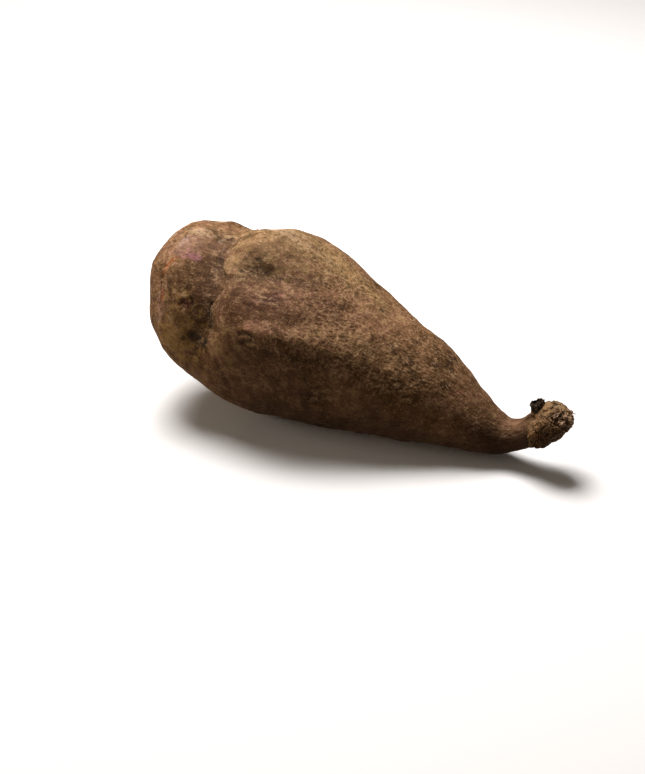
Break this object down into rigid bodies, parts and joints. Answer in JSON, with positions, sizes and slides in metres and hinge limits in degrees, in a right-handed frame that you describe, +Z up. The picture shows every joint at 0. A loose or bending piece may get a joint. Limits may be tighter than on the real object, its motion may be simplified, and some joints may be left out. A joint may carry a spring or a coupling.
{
  "type": "sweet potato",
  "caption": "Whole sweet potato lying on its side: a lumpy round body that tapers to a thin neck and a knobbly crown.",
  "frame": {"origin": "middle of the bounding box, on the surface the tuber rests on", "axes": "+X along the tuber from its round end to its crown, +Z up from the flat rest spot"},
  "size_m": [0.1938, 0.0828, 0.0825],
  "materials": {
    "skin": "matte"
  },
  "bodies": {
    "root": {"sweet_potato": "skin"}
  },
  "joints": []
}
